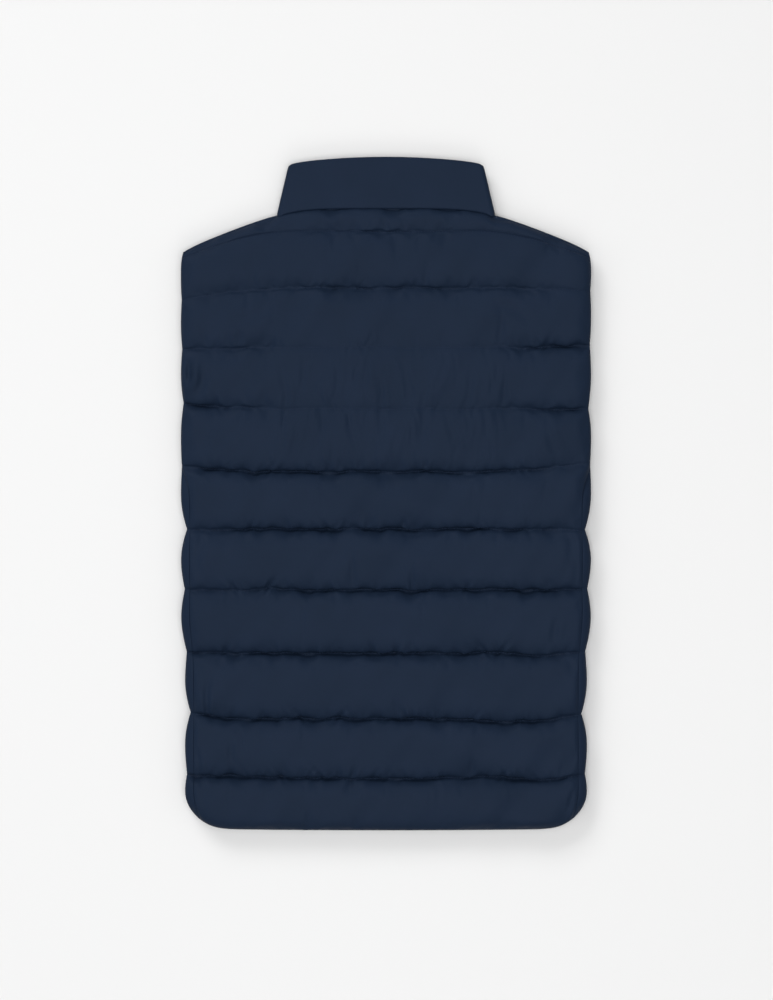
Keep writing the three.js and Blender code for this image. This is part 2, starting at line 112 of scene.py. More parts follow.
# The lines, from the hem up, in millimetres: the height at the centre, how far the left and right ends rise,
# how far the line draws the side in, the height of the wadding above the line, and then how deep the line is
# sunk, from 0 to 1, at the places across the back that DEPTH_AT gives.
DEPTH_AT = (-212, -190, -160, -110, -50, 0, 60, 110, 160, 190, 212)
LINE_TABLE = (
    # y, left, right, notch, crown, depths
    (HEM_Y, 0, 0, 0, 10.0, (1, 1, 1, 1, 1, 1, 1, 1, 1, 1, 1)),
    (-313.5, 4, 4.5, 2.5, 10.5, (0.7, 1, 1, 0.85, 0.75, 0.85, 0.85, 0.9, 0.9, 0.6, 0.4)),
    (-247.5, 7, 5.5, 6.5, 11.0, (0.4, 0.8, 1, 0.9, 0.8, 0.9, 1, 1, 1, 0.5, 0.3)),
    (-175.5, 0.5, 1, 3.5, 11.0, (0.5, 0.6, 0.75, 0.95, 0.95, 1, 0.9, 0.8, 0.7, 0.5, 0.3)),
    (-105.5, -0.5, 0.5, 4.5, 11.0, (0.35, 0.5, 0.35, 0.6, 0.85, 0.85, 0.9, 0.85, 0.9, 0.7, 0.4)),
    (-38.5, -1.5, -2, 7, 10.5, (0.3, 0.6, 0.75, 0.85, 0.85, 0.9, 0.85, 0.75, 0.6, 0.3, 0.2)),
    (24.5, 6, 10, 1, 10.0, (0.5, 0.9, 0.95, 0.9, 0.8, 0.8, 0.75, 0.65, 0.55, 0.3, 0.15)),
    (93.5, 6, 0, 3.2, 9.5, (0.7, 0.75, 0.45, 0.12, 0.08, 0.1, 0.08, 0.15, 0.45, 0.6, 0.65)),
    (161, -2, 3, 1.6, 9.0, (0.5, 0.45, 0.35, 0.1, 0.05, 0.05, 0.06, 0.12, 0.55, 0.8, 0.8)),
    (227, -14, -4, 1, 8.5, (0.2, 0.25, 0.25, 0.3, 0.5, 0.6, 0.5, 0.4, 0.3, 0.12, 0.1)),
    (289, 0, 0, 0, 5.5, (0.1, 0.1, 0.08, 0.1, 0.32, 0.48, 0.24, 0.08, 0.08, 0.1, 0.1)),
)
LINE_Y, LINE_LEFT, LINE_RIGHT, LINE_NOTCH, LINE_CROWN, LINE_DEPTH = zip(*LINE_TABLE)
CHANNELS = len(LINE_TABLE)
LINE_BEND, YOKE_BEND, YOKE_DROP, YOKE_POWER = 90.0, 105.0, 31.0, 1.6
LINE_SWAY, LINE_SWAY_SPAN = 0.6, 70
LINE_SHAKE, LINE_SHAKE_SPAN = 0.2, 21
STEADY_FROM, STEADY_OVER = 180, 30     # towards the side seams the lines run true
DEPTH_SHORT, DEPTH_SHORT_SPAN = 0.15, 34
DEPTH_LONG, DEPTH_LONG_SPAN = 0.12, 90
DEPTH_MOST = 1.15
# Where a line bows up or down between its middle and its ends
BEND_TABLE = (
    # line, x, half width, rise
    (1, -145, 45, 1.5), (1, 113, 20, 3.0), (1, 170, 30, -3.0),
    (2, 145, 50, -4.5), (3, 168, 24, -3.0), (2, -165, 40, -2.0),
)

# Rows of the mesh in each channel, as millimetres up a channel of the usual height
USUAL_CHANNEL = 67.0
CHANNEL_ROWS = (0, 1.2, 3.4, 7, 12, 19.5, 30, 41, 50, 56, 60, 62.6, 64.4, 65.7)
EDGE_COLUMNS = (0, 0.8, 2, 3.8, 6.2, 9.2, 13, 17)
MIDDLE_COLUMNS = 132
CORNER_APART = 0.1
SETTLED_BY = 1.1       # how far the shell may move as it settles
SETTLING_FRAMES = 20


def mix(start, end, share):
    return start + (end - start) * share


def ease(share):
    share = np.clip(share, 0, 1)
    return share * share * (3 - 2 * share)


def rounded(distance, reach):
    """A quarter of an ellipse, from 0 at an edge to 1 from reach in."""
    return np.sqrt(1 - (1 - np.clip(distance / reach, 0, 1)) ** 2)


def hem_y(x):
    corner = np.clip((np.abs(x) - CORNER_FROM) / (CORNER_X - CORNER_FROM), 0, 1)
    return HEM_Y + CORNER_RISE * corner ** CORNER_BEND - HEM_SAG * np.maximum(0, 1 - (x / HEM_SAG_HALF) ** 2)


def top_y(x, neck_y):
    """The neck seam between the shoulders, and the shoulder seam out to its tip."""
    across = np.clip(np.abs(x) / SHOULDER_NECK_X, 0, 1)
    out = np.clip((np.abs(x) - SHOULDER_NECK_X) / (SHOULDER_TIP_X - SHOULDER_NECK_X), 0, 1)
    bend = BACK_NECK_BEND if neck_y > SHOULDER_NECK_Y else FRONT_NECK_BEND
    neck = mix(neck_y, SHOULDER_NECK_Y, across ** bend)
    return neck - SHOULDER_FALL * out ** SHOULDER_BEND - SHOULDER_TIP_FALL * out ** SHOULDER_TIP_BEND


WAVES, SHORTEST_WAVE, LONGEST_WAVE, WAVES_LEVEL = 5, 0.6, 1.7, 2.2


def wander(seed, x, span):
    """A smooth, uneven line about zero, which bends about once in each span."""
    draw = np.random.default_rng(seed)
    waves = span * draw.uniform(SHORTEST_WAVE, LONGEST_WAVE, WAVES)
    starts = draw.uniform(0, 2 * np.pi, WAVES)
    return sum(np.sin(2 * np.pi * x / wave + start) for wave, start in zip(waves, starts)) / WAVES_LEVEL


# Where the stitches draw the cloth up, short puckers run off the lines. These are the ones that show, and a
# thread's pull leaves many smaller ones between them.
PUCKER_TABLE = (
    # line, x, lean, reach up, reach down, width, depth
    (1, -117, -0.7, 9, 6, 2.1, 1.9), (1, -86, 0.8, 8, 3, 1.8, 1.5), (1, -71, -1.0, 11, 3, 1.9, 2.0),
    (1, -38, 0.3, 10, 12, 2.2, 2.1), (1, 62, -0.5, 7, 4, 1.9, 1.2), (1, 128, 0.7, 8, 5, 1.9, 1.5),
    (2, -197, 0.0, 24, 2, 1.9, 2.0), (2, -139, 0.7, 6, 4, 1.9, 1.2), (2, -95, -0.9, 9, 6, 2.1, 1.8),
    (2, -52, 0.9, 8, 7, 2.1, 1.8), (2, 20, -0.4, 8, 4, 1.9, 1.2), (2, 96, 0.7, 9, 4, 2.1, 1.5),
    (3, -178, 0.5, 9, 6, 2.2, 1.6), (3, -120, -0.5, 7, 5, 1.8, 1.2), (3, 10, 0.7, 8, 3, 1.9, 1.2),
    (3, 109, -0.9, 12, 5, 2.1, 1.9), (3, 126, 0.8, 12, 5, 2.1, 1.9), (4, -167, -0.8, 9, 6, 2.2, 1.6),
    (4, -130, 0.8, 11, 8, 2.4, 2.0), (4, -60, -0.4, 7, 4, 1.9, 1.2), (4, 88, 0.7, 8, 5, 1.9, 1.4),
    (5, -150, 0.7, 8, 5, 2.1, 1.4), (5, -66, -0.8, 9, 4, 2.1, 1.6), (5, -20, 0.5, 10, 5, 2.1, 1.5),
    (5, 104, -0.7, 8, 5, 2.1, 1.4), (6, -128, 0.7, 8, 6, 2.1, 1.5), (6, -44, -0.7, 7, 4, 1.9, 1.2),
    (6, 40, 0.5, 8, 5, 1.9, 1.2), (6, 150, -0.5, 9, 6, 2.2, 1.4), (9, -70, 0.7, 9, 6, 2.2, 0.6),
    (9, 48, -0.7, 9, 6, 2.2, 0.5), (8, 176, 0.5, 9, 6, 2.2, 1.4), (7, -186, -0.4, 9, 6, 2.2, 1.4),
)
KINK, KINK_REACH = 0.7, 4.5     # how far a pucker pulls its line up, and how far along the line


def kinks(index, x):
    pulls = [p for p in PUCKER_TABLE if p[0] == index]
    return sum(KINK * p[6] * np.sign(p[3] - p[4]) * np.exp(-np.abs(x - p[1]) / KINK_REACH) for p in pulls)


def line_y(index, x, neck_y):
    """The hem, a stitched line or the top edge, numbered from the hem up."""
    if index == 0:
        return hem_y(x)
    if index == CHANNELS:
        return top_y(x, neck_y)
    if index == CHANNELS - 1:
        out = np.maximum(0, np.abs(x) - YOKE_BEND) / (CHEST_HALF - YOKE_BEND)
        drop = top_y(x, NECK_Y) - (LINE_Y[index] - YOKE_DROP * out ** YOKE_POWER)
        below = LINE_Y[index - 1]
        return mix(top_y(x, neck_y), below, drop / (top_y(x, NECK_Y) - below))
    out = np.maximum(0, np.abs(x) - LINE_BEND) / (CHEST_HALF - LINE_BEND)
    sway = LINE_SWAY * wander(index, x, LINE_SWAY_SPAN)
    shake = LINE_SHAKE * wander(20 + index, x, LINE_SHAKE_SPAN)
    uneven = (sway + shake) * (1 - ease((np.abs(x) - STEADY_FROM) / STEADY_OVER))
    bows = sum(rise * np.exp(-((x - at) / half) ** 2) for line, at, half, rise in BEND_TABLE if line == index)
    uneven = uneven + kinks(index, x) + bows
    return LINE_Y[index] + np.where(x < 0, LINE_LEFT[index], LINE_RIGHT[index]) * out ** 2 + uneven


def straight_half(y):
    """Half the width at a height, before the lines draw the side in."""
    half = mix(CHEST_HALF, HEM_HALF, ease((y - TAPER_FROM) / (TAPER_TO - TAPER_FROM)))
    corner = np.clip((HEM_Y + CORNER_UP - y) / CORNER_OVER, 0, 1)
    tip = np.clip((y - TIP_DRAW_FROM) / TIP_DRAW_OVER, 0, 1)
    return half - (HEM_HALF - CORNER_X) * corner ** 2 - TIP_DRAW * tip ** 3


def channel_notch(channel, share):
    """How far the lines above and below draw the side in at a share of a channel's height."""
    above = LINE_NOTCH[channel + 1] if channel + 1 < CHANNELS else 0
    return (LINE_NOTCH[channel] if share < 0.5 else above) * abs(2 * share - 1) ** SIDE_SCALLOP


class Row:
    """One row of a panel: a channel, a share of its height, and where its two ends lie."""

    def __init__(self, channel, share, neck_y):
        self.channel, self.share, self.neck_y = channel, share, neck_y
        self.half, self.side_y = {}, {}
        for side in (-1, 1):
            half = CHEST_HALF
            for _ in range(4):
                y = self.y_at(np.float64(side * half))
                half = straight_half(y) - channel_notch(channel, share)
            self.half[side], self.side_y[side] = float(half), float(y)

    def y_at(self, x):
        return mix(line_y(self.channel, x, self.neck_y), line_y(self.channel + 1, x, self.neck_y), self.share)

    def height_at(self, x):
        """The channel's own height, from line to line."""
        return line_y(self.channel + 1, x, self.neck_y) - line_y(self.channel, x, self.neck_y)


def rows_of(neck_y):
    rows = [Row(k, up / USUAL_CHANNEL, neck_y) for k in range(CHANNELS) for up in CHANNEL_ROWS]
    return [*rows, Row(CHANNELS - 1, 1.0, neck_y)]


def depth_of(line, x):
    """How deep a line is sunk. The hem and the top edge are sunk all along."""
    depth = np.interp(x, DEPTH_AT, LINE_DEPTH[line % CHANNELS])
    if line % CHANNELS == 0:
        return depth
    short = DEPTH_SHORT * wander(40 + line, x, DEPTH_SHORT_SPAN)
    long = DEPTH_LONG * wander(60 + line, x, DEPTH_LONG_SPAN)
    return np.clip(depth * (1 + short + long), 0, DEPTH_MOST)


def ledge(line, x):
    """How wide the strip under a line is: on some stretches it shows, on others the channel hides it."""
    return LEDGE + LEDGE_MORE * np.clip(wander(100 + line, x, LEDGE_SPAN), 0, LEDGE_MOST) * depth_of(line, x)


def padding(row, x, inset):
    """How far the wadding stands above the stitched level, and how far it hangs over the line below it."""
    up = row.share * row.height_at(x)
    down = (1 - row.share) * row.height_at(x)
    lower, upper = depth_of(row.channel, x), depth_of(row.channel + 1, x)
    below_line = down - ledge(row.channel + 1, x)
    full = 1 - lower * (1 - rounded(up, SOFT_ROUND)) - upper * (1 - rounded(below_line, FIRM_ROUND))
    arch = CHANNEL_EDGE + CHANNEL_ARCH * (1 - (2 * row.share - 1) ** 2)
    edge = rounded(inset, EDGE_ROUND)
    uneven = 1 + OVERHANG_UNEVEN * wander(80 + row.channel, x, OVERHANG_SPAN)
    overhang = OVERHANG * uneven * (row.channel > 0)
    hang = overhang * lower * edge * np.exp(-((up - HANG_AT) / HANG_REACH) ** 2)
    height = (LINE_CROWN[row.channel] + LINE_PINCH) * np.maximum(full, 0) * arch - LINE_PINCH
    return height * edge, hang


def turned_up(y):
    """How far the front's edge is turned up over the side: not at the armhole, fully below the underarm."""
    return ease((UNDERARM_OPEN - y) / (UNDERARM_OPEN - UNDERARM_CLOSED))


def seam_x(half, y):
    """The armhole's edge, which draws in to become the side seam."""
    drawn = ease((UNDERARM_OPEN - y) / (UNDERARM_OPEN - UNDERARM_DRAWN))
    return mix(half, straight_half(y) - SIDE_WRAP, drawn)


def back_row(row):
    """The points across one row of the back: its two outermost ones are turned down to the lining."""
    edge = {side: seam_x(row.half[side], row.side_y[side]) for side in (-1, 1)}
    steps = np.array(EDGE_COLUMNS)
    left, right = -edge[-1], edge[1]
    middle = np.linspace(left + steps[-1], right - steps[-1], MIDDLE_COLUMNS + 2)[1:-1]
    x = np.concatenate([left + steps, middle, (right - steps)[::-1]])
    side = np.where(x < 0, -1, 1)
    own_edge = np.where(x < 0, edge[-1], edge[1])
    outline = np.where(x < 0, row.half[-1], row.half[1])
    closed = np.where(x < 0, turned_up(row.side_y[-1]), turned_up(row.side_y[1]))
    inset = mix(own_edge - np.abs(x), outline - np.abs(x), closed)
    wadding, hang = padding(row, x, inset)
    seam_dip = SEAM_DIP * closed * (1 - rounded(own_edge - np.abs(x), SEAM_ROUND))
    y = row.y_at(x) - hang
    z = LINING_Z + EDGE_WALL + wadding - seam_dip
    turned = np.array([[x[0], y[0], LINING_Z]]), np.array([[x[-1], y[-1], LINING_Z]])
    return np.vstack([turned[0], np.column_stack([x, y, z]), turned[1]])


def sheet_of_rows(name, points):
    """A grid, with its corners put where the points say, as a new object."""
    rows, columns = points.shape[:2]
    bpy.ops.mesh.primitive_grid_add(x_subdivisions=columns - 1, y_subdivisions=rows - 1, size=2)
    piece = bpy.context.object
    piece.name = piece.data.name = name
    place = np.empty(len(piece.data.vertices) * 3)
    piece.data.vertices.foreach_get("co", place)
    place = place.reshape(-1, 3)
    column = np.rint((place[:, 0] + 1) / 2 * (columns - 1)).astype(int)
    row = np.rint((place[:, 1] + 1) / 2 * (rows - 1)).astype(int)
    piece.data.vertices.foreach_set("co", (points[row, column] * MM).ravel())
    piece.data.update()
    return piece, row, column


def close_with_lining(piece, inset=1.5):
    """Fills the open underside of a sheet with one plain face, set in so that its edge stays crisp."""
    bpy.ops.object.mode_set(mode="EDIT")
    bpy.ops.mesh.select_all(action="DESELECT")
    bpy.ops.mesh.select_mode(type="EDGE")
    bpy.ops.mesh.select_non_manifold()
    bpy.ops.mesh.edge_face_add()
    bpy.ops.mesh.select_mode(type="FACE")
    bpy.ops.mesh.inset(thickness=inset * MM, depth=0)
    bpy.ops.mesh.select_all(action="SELECT")
    bpy.ops.mesh.normals_make_consistent(inside=False)
    bpy.ops.object.mode_set(mode="OBJECT")


def coordinates(piece):
    place = np.empty(len(piece.data.vertices) * 3)
    piece.data.vertices.foreach_get("co", place)
    return place.reshape(-1, 3)


def settle(piece, held, cap):
    """Swells the shell between the points that are held, as cloth under light pressure, by at most cap."""
    start = coordinates(piece)
    group = piece.vertex_groups.new(name="held")
    group.add([int(i) for i in np.flatnonzero(held)], 1.0, "REPLACE")
    cloth = piece.modifiers.new("settle", "CLOTH")
    cloth.settings.quality = 4
    cloth.settings.mass = 0.12
    cloth.settings.tension_stiffness = cloth.settings.compression_stiffness = 12
    cloth.settings.shear_stiffness = 4
    cloth.settings.bending_stiffness = 0.3
    cloth.settings.air_damping = 4
    cloth.settings.use_pressure = True
    cloth.settings.uniform_pressure_force = 4
    cloth.settings.shrink_min = -0.018     # slack: each thread is 1.8% longer than it lies
    cloth.settings.vertex_group_mass = "held"
    cloth.settings.effector_weights.gravity = 0
    cloth.collision_settings.use_collision = False
    scene = bpy.context.scene
    for step in range(1, SETTLING_FRAMES + 1):
        scene.frame_set(step)
    bpy.ops.object.modifier_apply(modifier=cloth.name)
    scene.frame_set(1)
    moved = coordinates(piece) - start
    length = np.linalg.norm(moved, axis=1, keepdims=True)
    capped = start + moved * np.minimum(1, cap * MM / np.maximum(length, 1e-9))
    piece.data.vertices.foreach_set("co", capped.ravel())
    piece.vertex_groups.remove(piece.vertex_groups["held"])


def refine(piece):
    """One subdivision, as every padded piece has, and smooth shading."""
    smooth = piece.modifiers.new("subdivide", "SUBSURF")
    smooth.levels = smooth.render_levels = 1
    bpy.ops.object.modifier_apply(modifier=smooth.name)
    bpy.ops.object.shade_smooth()


LINE_ROW_ABOVE, LINE_ROW_BELOW = 0.5, 1.5     # rows this near a line are stitched
SEWN_DEPTH = 0.22      # how deep a line is where it holds the shell down
EDGE_ROWS, EDGE_POINTS = 2, 4     # what the seams hold

bpy.ops.object.select_all(action="DESELECT")
back_rows = rows_of(NECK_Y)
back_points = np.array([back_row(row) for row in back_rows])
back_points = np.concatenate([back_points[:1], back_points, back_points[-1:]])
back_points[[0, -1], :, 2] = LINING_Z
# Three points would meet at each corner, and cloth can't settle with two of its points in one place
for end_row, beside in ((0, 1), (-1, -2)):
    back_points[end_row, [1, -2], 2] += CORNER_APART
    back_points[beside, [0, -1], 2] += 2 * CORNER_APART
back, row_of_point, column_of_point = sheet_of_rows("back", back_points)
back.select_set(True)

last_row = back_points.shape[0] - 1
last_column = back_points.shape[1] - 1
row_number = np.clip(row_of_point - 1, 0, len(back_rows) - 1)
up_channel = np.array([row.share * USUAL_CHANNEL for row in back_rows])[row_number]
x_of_point = coordinates(back)[:, 0] / MM
nearest_line = np.array([row.channel + (row.share > 0.5) for row in back_rows])[row_number]
stitched = (up_channel < LINE_ROW_ABOVE) | (up_channel > USUAL_CHANNEL - LINE_ROW_BELOW)
sewn_down = np.array([depth_of(line, x) for line, x in zip(nearest_line, x_of_point)]) > SEWN_DEPTH
at_edge = (row_of_point < EDGE_ROWS) | (row_of_point > last_row - EDGE_ROWS)
at_edge |= (column_of_point < EDGE_POINTS) | (column_of_point > last_column - EDGE_POINTS)
settle(back, (stitched & sewn_down) | at_edge, cap=SETTLED_BY)
refine(back)

SMALL_PUCKER_SPACING = 8.5
SMALL_PUCKER_DEPTH = 1.15
SMALL_PUCKER_LOW, SMALL_PUCKER_HIGH = (-0.9, 3, 2, 1.6), (0.9, 10, 6, 2.6)     # lean, up, down and width
PUCKERS_TO = 205.0     # how far out they go
PUCKER_NEAR = 30       # how far off a pucker still reaches
PUCKER_SPREAD = 22     # how far from its line it is twice as wide
PINNED, PINNED_REACH = 0.6, 1.2     # how much the stitches hold it flat at the line, and how far from it
RIDGE = 0.55           # how high its two ridges are, as a share of its depth


def pucker_table(seed):
    """The puckers that are listed, and small ones drawn at random along every line."""
    draw = np.random.default_rng(seed)
    puckers = list(PUCKER_TABLE)
    for line in range(1, CHANNELS):
        x = -PUCKERS_TO
        while x < PUCKERS_TO:
            x += SMALL_PUCKER_SPACING * draw.uniform(0.35, 1.9)
            lean, up, down, width = draw.uniform(SMALL_PUCKER_LOW, SMALL_PUCKER_HIGH)
            depth = SMALL_PUCKER_DEPTH * draw.uniform(0.15, 1.3) * float(depth_of(line, x))
            puckers.append((line, x, lean, up, down, width, depth))
    return puckers


def ridge(off, width):
    """Across a pucker: a furrow between two low ridges."""
    right = np.exp(-((off - 2 * width) / width) ** 2)
    left = np.exp(-((off + 2 * width) / width) ** 2)
    return RIDGE * (right + left) - np.exp(-((off / width) ** 2))


def puckered(x, y, neck_y, puckers):
    """How far the puckers raise or lower the cloth at each of many places."""
    rise = np.zeros_like(x)
    for line, at, lean, up, down, width, depth in puckers:
        near = np.abs(x - at) < PUCKER_NEAR
        above = y[near] - line_y(line, x[near], neck_y)
        reach = np.where(above > 0, up, down)
        spread = width * (1 + np.abs(above) / PUCKER_SPREAD)
        along = np.exp(-((above / reach) ** 2)) * (1 - PINNED * np.exp(-((above / PINNED_REACH) ** 2)))
        rise[near] += depth * along * ridge(x[near] - at - lean * above, spread)
    return rise


# Long soft creases, listed one by one: the middle of the upper back has fine ones that stand nearly upright,
# and the armholes and side seams have a few deeper ones.
CREASE_TABLE = (
    # x, y, length, lean in degrees from upright, width, depth
    (-112, 110, 50, -8, 3.5, 0.75), (-92, 128, 36, 12, 3.0, 0.65), (-74, 92, 58, -14, 3.8, 0.8),
    (-55, 122, 44, 6, 3.0, 0.65), (-38, 70, 52, -20, 3.6, 0.8), (-22, 132, 40, 18, 3.2, 0.65),
    (-6, 96, 60, -6, 3.4, 0.8), (12, 60, 40, 14, 3.2, 0.6), (24, 126, 46, -16, 3.4, 0.75),
    (41, 88, 62, 8, 3.8, 0.85), (58, 128, 38, 22, 3.0, 0.65), (72, 66, 46, -10, 3.4, 0.75),
    (90, 110, 54, 15, 3.4, 0.8), (108, 82, 42, -12, 3.0, 0.65), (120, 124, 34, 8, 3.0, 0.6),
    (-60, 44, 30, 16, 3.0, 0.55), (30, 36, 26, -18, 3.0, 0.55), (-100, 60, 34, 4, 3.2, 0.6),
    (-217, 133, 26, 18, 4.0, 3.6), (-205, 118, 30, 38, 5.0, 1.6), (209, -90, 38, 8, 4.5, 1.1),
    (-196, -218, 26, 4, 2.6, 0.8), (202, -60, 44, -4, 4.0, 0.8), (-206, -60, 34, 10, 4.0, 0.7),
    (-150, 195, 48, 62, 5.0, 1.08), (140, 200, 44, -64, 5.0, 1.08), (-176, 60, 34, 40, 4.0, 0.9),
    (182, 56, 30, -36, 4.0, 0.9), (186, -150, 26, 20, 3.6, 1.08), (-170, -285, 24, -18, 3.4, 0.9),
    (-207, -298, 40, -15, 2.6, 1.3), (206, -333, 34, 17, 2.6, 1.2),
)
CREASED_PATCH = (-130, 126, 28, 172)     # left, right, bottom and top of the finely creased middle
FINE_CREASES = 84
CREASE_SWAY, CREASE_SWAYS = 0.5, 5     # how far a crease winds about its line, and how fast
SWELL = 1.25           # how uneven the wadding is, over stretches as long as a hand is wide


def crease_table(seed):
    """The listed creases, and the fine ones among those in the middle."""
    draw = np.random.default_rng(seed)
    left, right, bottom, top = CREASED_PATCH
    low, high = (left, bottom, 7, -34, 1.6, 0.2), (right, top, 24, 30, 2.3, 0.65)
    return [*CREASE_TABLE, *(draw.uniform(low, high) for _ in range(FINE_CREASES))]


def creased(x, y, creases):
    rise = np.zeros_like(x)
    for at_x, at_y, length, lean, width, depth in creases:
        turn = math.radians(lean)
        along = (y - at_y) * math.cos(turn) + (x - at_x) * math.sin(turn)
        off = (x - at_x) * math.cos(turn) - (y - at_y) * math.sin(turn)
        off = off - width * CREASE_SWAY * np.sin(along / length * CREASE_SWAYS + at_x)
        rise += depth * np.exp(-((along / (length / 2)) ** 4)) * ridge(off, width)
    return rise


def swollen(x, y, seed):
    """The unevenness of the wadding."""
    slant = wander(seed, x + 0.4 * y, 95) * wander(seed + 1, y - 0.3 * x, 80)
    return SWELL * (slant + 0.5 * wander(seed + 2, x - 0.7 * y, 48))


FREE_REACH = 9         # how far in from a seam the shell creases freely
WADDING_FULL, WADDING_LEAST = 6, 0.15     # the wadding's height where it swells in full, and its least share

back_shape = coordinates(back) / MM
back_x, back_y, back_z = back_shape.T
side_reach = np.array([seam_x(straight_half(y), y) for y in back_y]) - np.abs(back_x)
end_reach = np.minimum(back_y - hem_y(back_x), top_y(back_x, NECK_Y) - back_y)
free = ease(np.minimum(side_reach, end_reach) / FREE_REACH)
rise = puckered(back_x, back_y, NECK_Y, pucker_table(seed=7))
rise = rise + creased(back_x, back_y, crease_table(seed=5))
full = np.clip((back_z - LINING_Z - EDGE_WALL) / WADDING_FULL, WADDING_LEAST, 1)
back_z += free * (rise + full * swollen(back_x, back_y, 300))
back.data.vertices.foreach_set("co", (back_shape * MM).ravel())
close_with_lining(back)
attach(back, "vest")
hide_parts("back_panel")

# The cloth of the shell: a plain-woven polyamide, dyed navy and lightly calendered, so it is matt with a
# faint sheen. The threads are about 0.4 mm apart. They are drawn 1 mm apart, because finer ones don't show.
THREAD_DRAWN = 1.0 * MM
WEAVE_SCALE = math.pi / 10 / THREAD_DRAWN     # a wave texture's scale that gives one wave to a thread


def linear(hex_colour):
    """An sRGB hex colour as linear red, green, blue and alpha."""
    parts = [int(hex_colour[i : i + 2], 16) / 255 for i in (1, 3, 5)]
    return (*(c / 12.92 if c <= 0.04045 else ((c + 0.055) / 1.055) ** 2.4 for c in parts), 1.0)


def new_material(name):
    material = bpy.data.materials.new(name)
    material.use_nodes = True
    material.node_tree.nodes.clear()
    return material


def node(material, kind, links=(), **settings):
    """Adds a node, sets its inputs and properties, and links inputs to (node, output) pairs."""
    made = material.node_tree.nodes.new(kind)
    for name, value in settings.items():
        title = name.replace("_", " ")
        found = [s for s in made.inputs if s.name.lower() == title.lower()]
        if found:
            found[0].default_value = value
        else:
            setattr(made, name, value)
    for target, (source, output) in dict(links).items():
        material.node_tree.links.new(source.outputs[output], made.inputs[target])
    return made


shell_cloth = new_material("navy_polyamide_taffeta")
cloth_place = node(shell_cloth, "ShaderNodeTexCoord")
mottle = node(shell_cloth, "ShaderNodeTexNoise", {"Vector": (cloth_place, "Object")}, scale=22.0, detail=3.0)
tone = node(shell_cloth, "ShaderNodeMix", {"Factor": (mottle, "Fac")}, data_type="RGBA")
tone.inputs[6].default_value = linear("#152132")
tone.inputs[7].default_value = linear("#192538")
warp = node(shell_cloth, "ShaderNodeTexWave", {"Vector": (cloth_place, "Object")}, scale=WEAVE_SCALE)
weft = node(shell_cloth, "ShaderNodeTexWave", {"Vector": (cloth_place, "Object")}, scale=WEAVE_SCALE)
warp.bands_direction, weft.bands_direction = "X", "Y"
weave = node(shell_cloth, "ShaderNodeMath", {0: (warp, "Fac"), 1: (weft, "Fac")}, operation="MULTIPLY")
weave_bump = node(
    shell_cloth, "ShaderNodeBump", {"Height": (weave, "Value")}, strength=0.3, distance=0.08 * MM
)
cloth_shader = node(
    shell_cloth, "ShaderNodeBsdfPrincipled", {"Base Color": (tone, 2), "Normal": (weave_bump, "Normal")},
    roughness=0.6, specular_ior_level=0.06,
)
node(shell_cloth, "ShaderNodeOutputMaterial", {"Surface": (cloth_shader, "BSDF")})
back.data.materials.append(shell_cloth)

# The two fronts, cut and quilted like the back. They lie under it with their channels pressed flat on the
# surface, and turn up round the sides to the side seams. Each ends in a plain edge beside the zip, and its
# armhole is cut a little deeper than the back's.
FRONT_NECK_Y = 238.0
FRONT_LINING_Z = 14.5
SEAM_LAP = 0.7          # the side seam's two edges are pressed together by this much
ZIP_EDGE_X = 6.0
RECESS_Z, RECESS_FROM, RECESS_TO = 10.3, 22.0, 42.0     # the front is thinner beside the zip's tape
ARMHOLE_SCOOP = 10.0
GROOVE = 4.2           # how deep the lines are in the side that lies on the surface
GROOVE_ROUND = 9.0
UNDER_ROUND = 22.0
FRONT_MIDDLE_COLUMNS = 34
ARMHOLE_LIP, LIP_SLOPE = 0.4, 0.25     # how wide the armhole's thin edge is, and how steep
LINING_START = 8.0     # from the turned-up part in to the lining's first point
LIP_INSETS = (0, 0.25, 0.8, 1.7, 2.9, 4.3, 5.8, 7.2, 8.3, 9.2, 10)
LINING_X = (60, RECESS_TO, 32, RECESS_FROM)


def lining_z(x):
    return mix(RECESS_Z, FRONT_LINING_Z, ease((x - RECESS_FROM) / (RECESS_TO - RECESS_FROM)))


def under_z(row, side, x, half, closed):
    """The side of a front that lies on the surface, flat but for its lines and its edges."""
    y = row.y_at(side * x)
    up = row.share * row.height_at(side * x)
    down = (1 - row.share) * row.height_at(side * x)
    lower = 0 if row.channel == 0 else 1 - rounded(up, GROOVE_ROUND)
    upper = 0 if row.channel == CHANNELS - 1 else 1 - rounded(down, GROOVE_ROUND)
    groove = GROOVE * (lower + upper)
    thin_z = lining_z(x) - EDGE_WALL
    to_ends = np.minimum(y - hem_y(side * x), top_y(side * x, FRONT_NECK_Y) - y)
    beside_zip = mix(thin_z, groove, rounded(x - ZIP_EDGE_X, EDGE_ROUND))
    beside_side = mix(mix(thin_z, FRONT_LINING_Z, closed), beside_zip, rounded(half - x, UNDER_ROUND))
    return mix(np.maximum(thin_z, beside_side), beside_side, rounded(to_ends, EDGE_ROUND))


